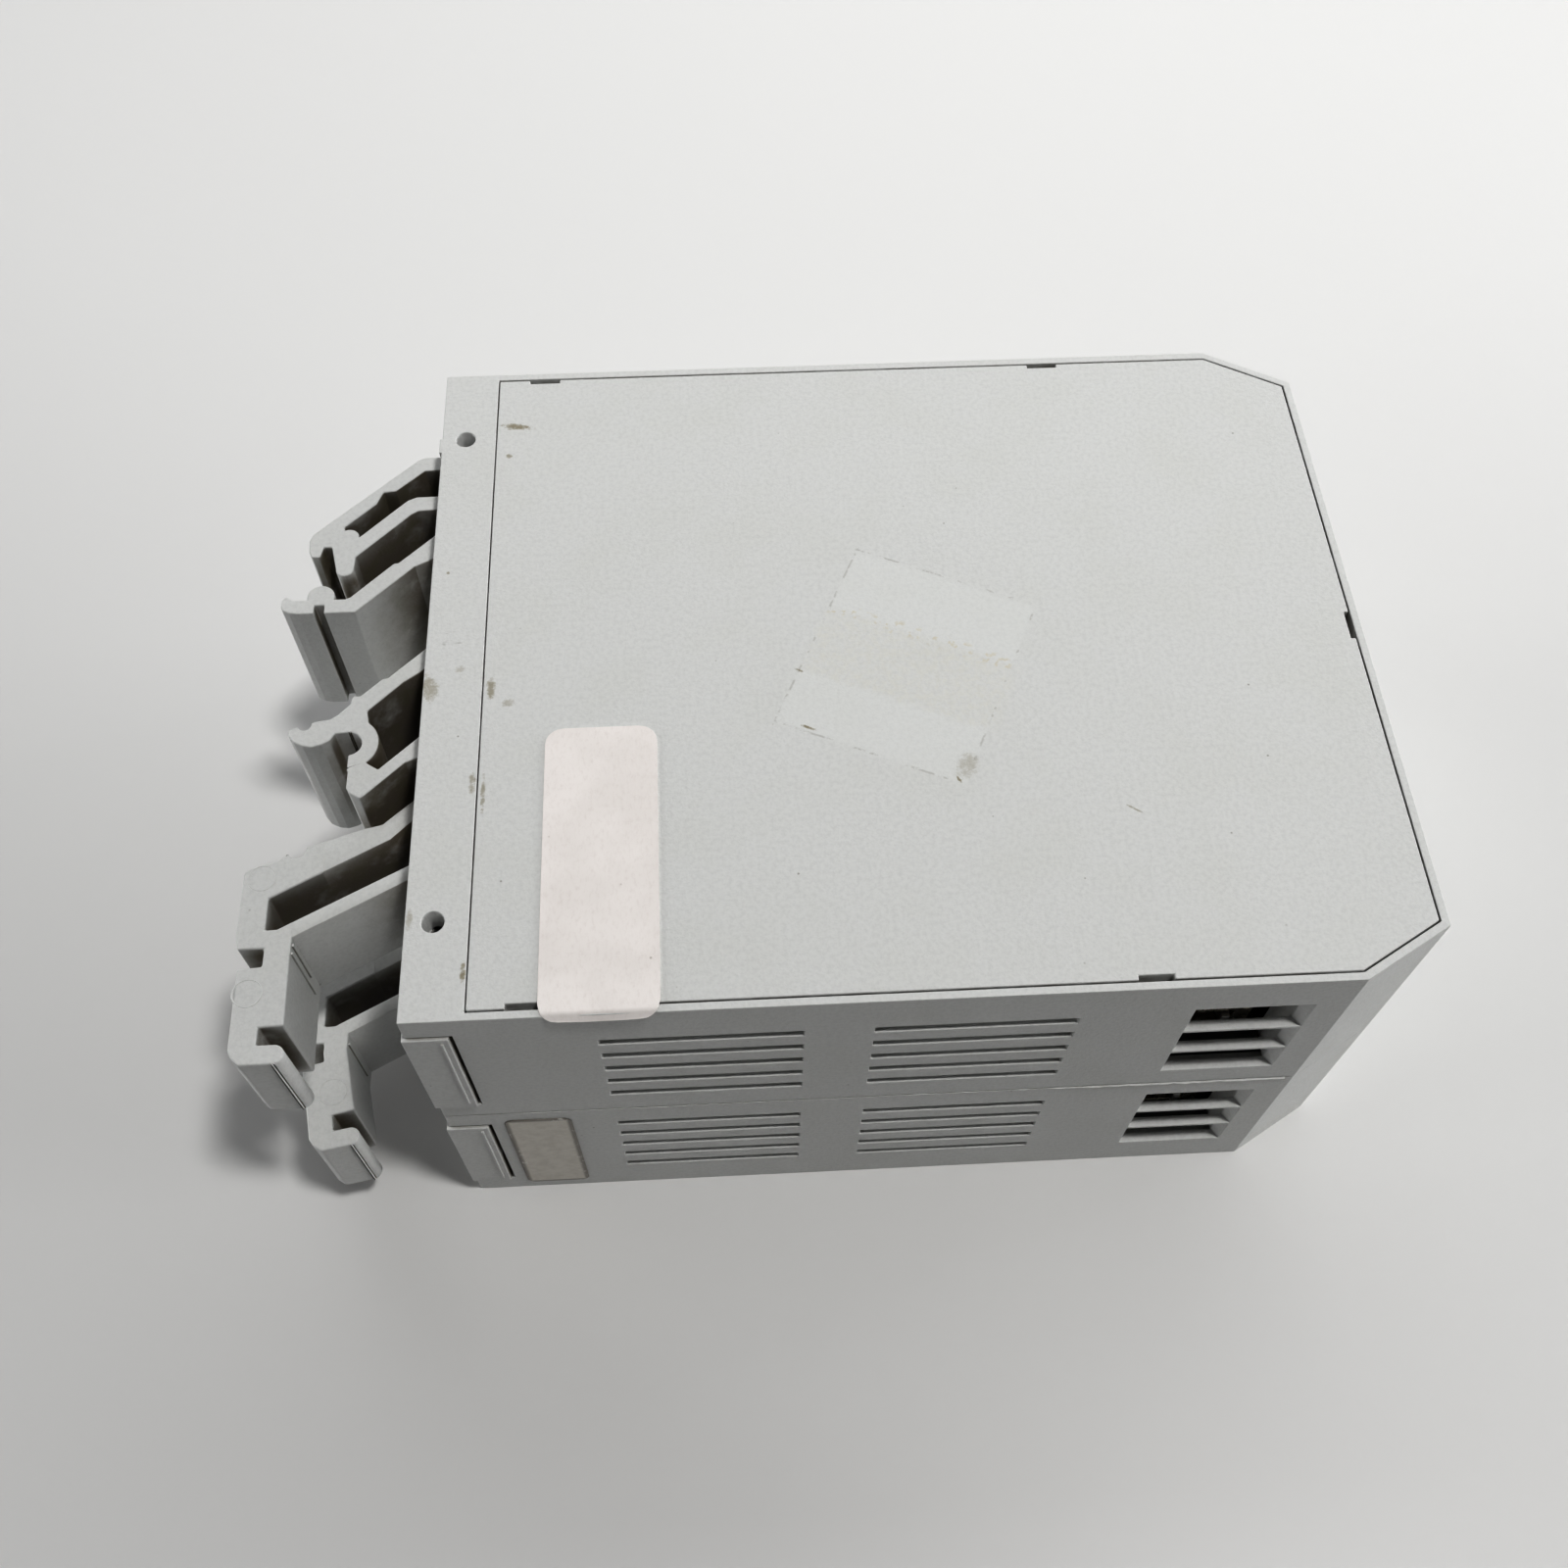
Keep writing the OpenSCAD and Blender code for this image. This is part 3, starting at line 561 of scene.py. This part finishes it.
def soften(obj, width_mm):
    """Joins the facets into faces and rounds the sharp edges a little, as on a moulding."""
    weld = obj.modifiers.new("weld", "WELD")
    weld.merge_threshold = WELD_GAP
    flat = obj.modifiers.new("faces", "DECIMATE")
    flat.decimate_type = "DISSOLVE"
    flat.angle_limit = FLAT_WITHIN
    bevel = obj.modifiers.new("edges", "BEVEL")
    bevel.width = width_mm * MM
    bevel.segments = 2
    bevel.limit_method = "ANGLE"
    bevel.angle_limit = CREASE
    bevel.use_clamp_overlap = False
    bevel.harden_normals = True


for name, node in frame["nodes"].items():
    finish = SPECIAL.get(name, FINISHES[SLOTS[name]])
    node.data.materials.clear()
    node.data.materials.append(finish)
    soften(node, EDGE_ROUND.get(name, PLAIN_EDGE))

# ---------------------------------------------------------------- pieces made here

FOOT_MIDDLE = 33.6  # height of the left module's rail foot
LATCH_HALF = 5.5


def new_piece(name, mesh, material):
    """An object for the mesh, with its material."""
    obj = bpy.data.objects.new(name, mesh)
    bpy.context.scene.collection.objects.link(obj)
    mesh.materials.clear()
    mesh.materials.append(material)
    return obj


def finished_mesh(name, bm):
    """The bmesh as a mesh, smooth but with its creases kept sharp."""
    bmesh.ops.recalc_face_normals(bm, faces=bm.faces)
    for edge in bm.edges:
        edge.smooth = not (edge.is_boundary or edge.calc_face_angle(0.0) > CREASE)
    for face in bm.faces:
        face.smooth = True
    mesh = bpy.data.meshes.new(name)
    bm.to_mesh(mesh)
    bm.free()
    return mesh


def prism(bm, outline, z_low, z_high):
    """A solid between two heights over an outline of points in mm."""
    low = [bm.verts.new(at(x, y, z_low)) for x, y in outline]
    high = [bm.verts.new(at(x, y, z_high)) for x, y in outline]
    bm.faces.new(low[::-1])
    bm.faces.new(high)
    for i in range(len(outline)):
        j = (i + 1) % len(outline)
        bm.faces.new((low[i], low[j], high[j], high[i]))


def round_edges(bm, width_mm, kept_planes):
    """Bevels the sharp edges, except those lying in one of the kept planes of constant x."""

    def kept(edge):
        return any(all(abs(v.co.x - x) < 1e-6 for v in edge.verts) for x in kept_planes)

    bm.normal_update()
    sharp = [e for e in bm.edges if e.calc_face_angle(0.0) > CREASE and not kept(e)]
    bmesh.ops.bevel(bm, geom=sharp, offset=width_mm * MM, segments=2, profile=0.5, affect="EDGES")


def in_fixed_order(bm):
    """The same mesh with its parts sorted, since a bevel doesn't leave one order in every run."""
    corners = sorted(tuple(v.co) for v in bm.verts)
    place = {corner: i for i, corner in enumerate(corners)}
    rings = []
    for face in bm.faces:
        ring = [place[tuple(v.co)] for v in face.verts]
        start = ring.index(min(ring))
        rings.append(ring[start:] + ring[:start])
    bm.free()
    ordered = bmesh.new()
    verts = [ordered.verts.new(corner) for corner in corners]
    for ring in sorted(rings):
        ordered.faces.new([verts[i] for i in ring])
    return ordered


# Flat springs of a latch, each run a little into the moulding at both ends
UPPER_SPRING = ((0.0, 26.25), (-3.1, 23.45), (-4.1, 22.5), (-5.9, 22.1), (-9.6, 20.75),
                (-9.6, 17.44), (-3.2, 20.83), (-1.8, 22.24), (0.0, 23.9))
LOWER_SPRING = ((0.0, 18.83), (-11.4, 12.8), (-11.4, 11.14), (0.0, 17.2))
SPRING_CUTS = 14
SPRING_INSET = 0.03  # keeps the spring's faces from lying in the latch's own
SPRING_ROUND = 0.2


def spring(side, which, outline):
    """One spring arm, cut across its length into short sections."""
    middle = mirrored(FOOT_MIDDLE, side)
    bm = bmesh.new()
    prism(bm, outline, middle - LATCH_HALF + SPRING_INSET, middle + LATCH_HALF - SPRING_INSET)
    foot_x = outline[0][0]
    latch_x = min(x for x, _ in outline)
    round_edges(bm, SPRING_ROUND, [at(x, 0, 0).x for x in (foot_x, latch_x)])
    for cut in range(1, SPRING_CUTS):
        x = foot_x + (latch_x - foot_x) * cut / SPRING_CUTS
        geometry = bm.verts[:] + bm.edges[:] + bm.faces[:]
        bmesh.ops.bisect_plane(bm, geom=geometry, plane_co=at(x, 0, 0), plane_no=(1, 0, 0))
    name = f"{side}_{which}_spring"
    mesh = finished_mesh(name, in_fixed_order(bm))
    piece = new_piece(name, mesh, FOOT_PLASTIC)
    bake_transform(piece)
    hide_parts(f"{side}_latch_arms")


RING_SIDES = 48
RING_HALF = 0.09  # half width of a ring's ridge
RING_HEIGHT = 0.035
RING_SUNK = 0.02


def latch_marks(side, rings, ribs):
    """Ejector pin rings on the latch's upper face, and moulded ribs on its inner wall."""
    middle = mirrored(FOOT_MIDDLE, side)
    top = middle + LATCH_HALF
    bm = bmesh.new()
    for x, y, radius in rings:
        loops = []
        section = ((radius - RING_HALF, top - RING_SUNK), (radius, top + RING_HEIGHT),
                   (radius + RING_HALF, top - RING_SUNK))
        for r, z in section:
            angles = [2 * math.pi * i / RING_SIDES for i in range(RING_SIDES)]
            loops.append([bm.verts.new(at(x + r * math.cos(a), y + r * math.sin(a), z)) for a in angles])
        for inner, outer in zip(loops, loops[1:] + loops[:1]):
            for i in range(RING_SIDES):
                j = (i + 1) % RING_SIDES
                bm.faces.new((inner[i], outer[i], outer[j], inner[j]))
    for x, y, width, length in ribs:
        back, face = x - 0.1, x + 0.16
        outline = ((back, y), (face, y), (face, y + width), (back, y + width))
        prism(bm, outline, top - length, top - 0.3)
    name = f"{side}_latch_marks"
    piece = new_piece(name, finished_mesh(name, bm), FOOT_PLASTIC)
    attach(piece, f"{side}_latch")


def tab_ridges():
    """The raised line along each snap tab of the rail feet, in the narrow sides."""
    bm = bmesh.new()
    for side in ("left", "right"):
        middle = mirrored(FOOT_MIDDLE, side)
        for y, out in ((-0.3, -1), (CASE_HEIGHT + 0.3, 1)):
            root, crest = y - 0.1 * out, y + 0.14 * out
            outline = ((2.85, root), (2.95, crest), (3.1, crest), (3.2, root))
            prism(bm, outline, middle - 6.9, middle + 7.4)
    piece = new_piece("tab_ridges", finished_mesh("tab_ridges", bm), FOOT_PLASTIC)
    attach(piece, "case")


def seam_lips():
    """Thin flash along the joint of the half shells, more of it towards the front."""
    bm = bmesh.new()
    stations = [7.0 + 0.6 * i for i in range(123)]
    for wall, out in ((0.0, -1), (CASE_HEIGHT, 1)):
        rows = []
        for x in stations:
            ragged = noise.noise(Vector((x * 0.9, wall, 3.0)))
            ragged += 0.6 * noise.noise(Vector((x * 3.1, wall, 7.0)))
            front = max(0.0, min(1.0, (x - 57.0) / 4.0))
            height = max(0.01, 0.03 + 0.12 * front + 0.09 * ragged)
            z = SEAM_Z - 0.06
            profile = ((wall - 0.1 * out, z + 0.01), (wall + height * out, z), (wall - 0.1 * out, z - 0.16))
            rows.append([bm.verts.new(at(x, y, zz)) for y, zz in profile])
        for a, b in zip(rows, rows[1:]):
            for i in range(3):
                j = (i + 1) % 3
                bm.faces.new((a[i], a[j], b[j], b[i]))
        bm.faces.new(rows[0][::-1])
        bm.faces.new(rows[-1])
    piece = new_piece("seam_lips", finished_mesh("seam_lips", bm), SHELL_PLASTIC)
    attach(piece, "case")


# Paper label: its sides, its top end and the corner radius
LABEL_X = (11.5, 21.7)
LABEL_TOP = 28.3
LABEL_CORNER = 1.7
LABEL_FOLD_RADIUS = 0.6
LABEL_FLAP_TILT = math.radians(38)
LABEL_FLAP = 0.6
LABEL_T = 0.1


def label_profile():
    """Points (length along the paper, y, z) down the face, round the fold and down the flap."""
    face = CASE_WIDTH + 0.02
    points = [(LABEL_TOP - y, y, face) for y in
              (LABEL_TOP, 28.2, 27.95, 27.6, 27.2, 26.6, 24, 20, 16, 12, 8, 5, 3, 2, 1.2, 0.5)]
    length, y, z = points[-1]
    arc = 10
    for i in range(1, arc + 1):
        angle = LABEL_FLAP_TILT * i / arc
        points.append((length + LABEL_FOLD_RADIUS * angle, y - LABEL_FOLD_RADIUS * math.sin(angle),
                       z - LABEL_FOLD_RADIUS * (1 - math.cos(angle))))
    length, y, z = points[-1]
    for step in (0.15, 0.3, 0.4, 0.5, LABEL_FLAP):
        points.append((length + step, y - step * math.cos(LABEL_FLAP_TILT),
                       z - step * math.sin(LABEL_FLAP_TILT)))
    return points


def type_label():
    """Paper label that has come loose at the edge of the case and stands off it."""
    profile = label_profile()
    total = profile[-1][0]
    half = (LABEL_X[1] - LABEL_X[0]) / 2
    middle = (LABEL_X[1] + LABEL_X[0]) / 2
    columns = 18
    bm = bmesh.new()
    rows = []
    for length, y, z in profile:
        from_end = min(length, total - length)
        inset = 0.0
        if from_end < LABEL_CORNER:
            to_middle = LABEL_CORNER - from_end
            inset = LABEL_CORNER - math.sqrt(max(LABEL_CORNER ** 2 - to_middle ** 2, 0.0))
        row = []
        for i in range(columns + 1):
            across = -1 + 2 * i / columns
            x = middle + across * (half - inset)
            loose = max(0.0, (length - 25.5) / 6)
            wave = noise.noise(Vector((x * 0.4, length * 0.3, 1.0)))
            lift = loose * (0.22 * across * across + 0.10 * wave)
            row.append(bm.verts.new(at(x, y - 0.3 * lift, z + lift)))
        rows.append(row)
    for a, b in zip(rows, rows[1:]):
        for i in range(columns):
            bm.faces.new((a[i], b[i], b[i + 1], a[i + 1]))
    mesh = finished_mesh("type_label_paper", bm)
    piece = new_piece("type_label_paper", mesh, FINISHES["label_paper"])
    thick = piece.modifiers.new("thickness", "SOLIDIFY")
    thick.thickness = LABEL_T * MM
    thick.offset = 1.0
    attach(piece, "case")
    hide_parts("type_label")


for side in ("left", "right"):
    spring(side, "upper", UPPER_SPRING)
    spring(side, "lower", LOWER_SPRING)
latch_marks("left", ((-14.5, 17.3, 1.25), (-14.5, 6.0, 1.3)),
            ((-11.2, 9.7, 0.25, 9.0), (-11.2, 10.5, 0.25, 7.0)))
latch_marks("right", ((-12.2, 5.1, 1.35),), ((-11.2, 10.1, 0.25, 9.0),))
tab_ridges()
seam_lips()
type_label()

# ---------------------------------------------------------------- stage


def floor():
    """Plain pale sheet under the part."""
    f = Finish("pale_floor", (0.70, 0.70, 0.698), roughness=0.45)
    bpy.ops.mesh.primitive_plane_add(size=6.0, location=(0.0, 0.0, 0.0))
    sheet = bpy.context.object
    sheet.name = "floor"
    sheet.data.materials.append(f.material)


def softbox(name, place, target, size, power, colour=(1.0, 1.0, 1.0), spread=180):
    """A soft rectangular light at a place, facing a target; spread is its beam in degrees."""
    light = bpy.data.lights.new(name, "AREA")
    light.shape = "RECTANGLE"
    light.size, light.size_y = size
    light.energy = power
    light.color = colour
    light.spread = math.radians(spread)
    obj = bpy.data.objects.new(name, light)
    bpy.context.scene.collection.objects.link(obj)
    obj.location = place
    obj.rotation_euler = (Vector(target) - Vector(place)).to_track_quat("-Z", "Y").to_euler()


WARM = (1.0, 0.99, 0.975)
COOL = (0.985, 0.995, 1.0)


def studio():
    """One lamp above for the shadows, and pale panels behind and beside the part."""
    world = bpy.data.worlds.new("studio")
    world.use_nodes = True
    background = world.node_tree.nodes["Background"]
    background.inputs["Color"].default_value = (1.0, 0.97, 0.93, 1.0)
    background.inputs["Strength"].default_value = 0.03
    bpy.context.scene.world = world
    softbox("key", (0.42, -0.21, 1.39), (0.04, 0.29, 0.03), (0.15, 0.15), 1.83, WARM, spread=60)
    softbox("back_high", (0.0, 1.0, 0.8), (0, 0, 0.03), (1.6, 0.8), 6.7, COOL)
    softbox("right_back", (0.9, 0.6, 0.5), (0, 0, 0.03), (0.7, 0.5), 2.6, COOL)
    softbox("right_low", (0.9, -0.02, 0.22), (0, 0, 0.03), (0.7, 0.22), 1.15, spread=90)
    softbox("left_low", (-0.9, 0.02, 0.22), (0, 0, 0.03), (0.7, 0.22), 1.1, spread=90)


# In case millimetres, degrees, and millimetres of lens on a 36 mm sensor
CAMERA_PLACE = (28.139, -52.0005, 166.751)
CAMERA_TILT = (31.1642, -0.47426, -3.00408)
LENS = 36.395


def camera():
    """The photograph's viewing angle."""
    data = bpy.data.cameras.new("camera")
    data.sensor_width = 36.0
    data.lens = LENS
    data.clip_start = 0.01
    obj = bpy.data.objects.new("camera", data)
    bpy.context.scene.collection.objects.link(obj)
    obj.location = at(*CAMERA_PLACE)
    obj.rotation_euler = [math.radians(a) for a in CAMERA_TILT]
    bpy.context.scene.camera = obj


floor()
studio()
camera()
bpy.context.scene.view_settings.view_transform = "Standard"
bpy.context.scene.view_settings.gamma = 0.70
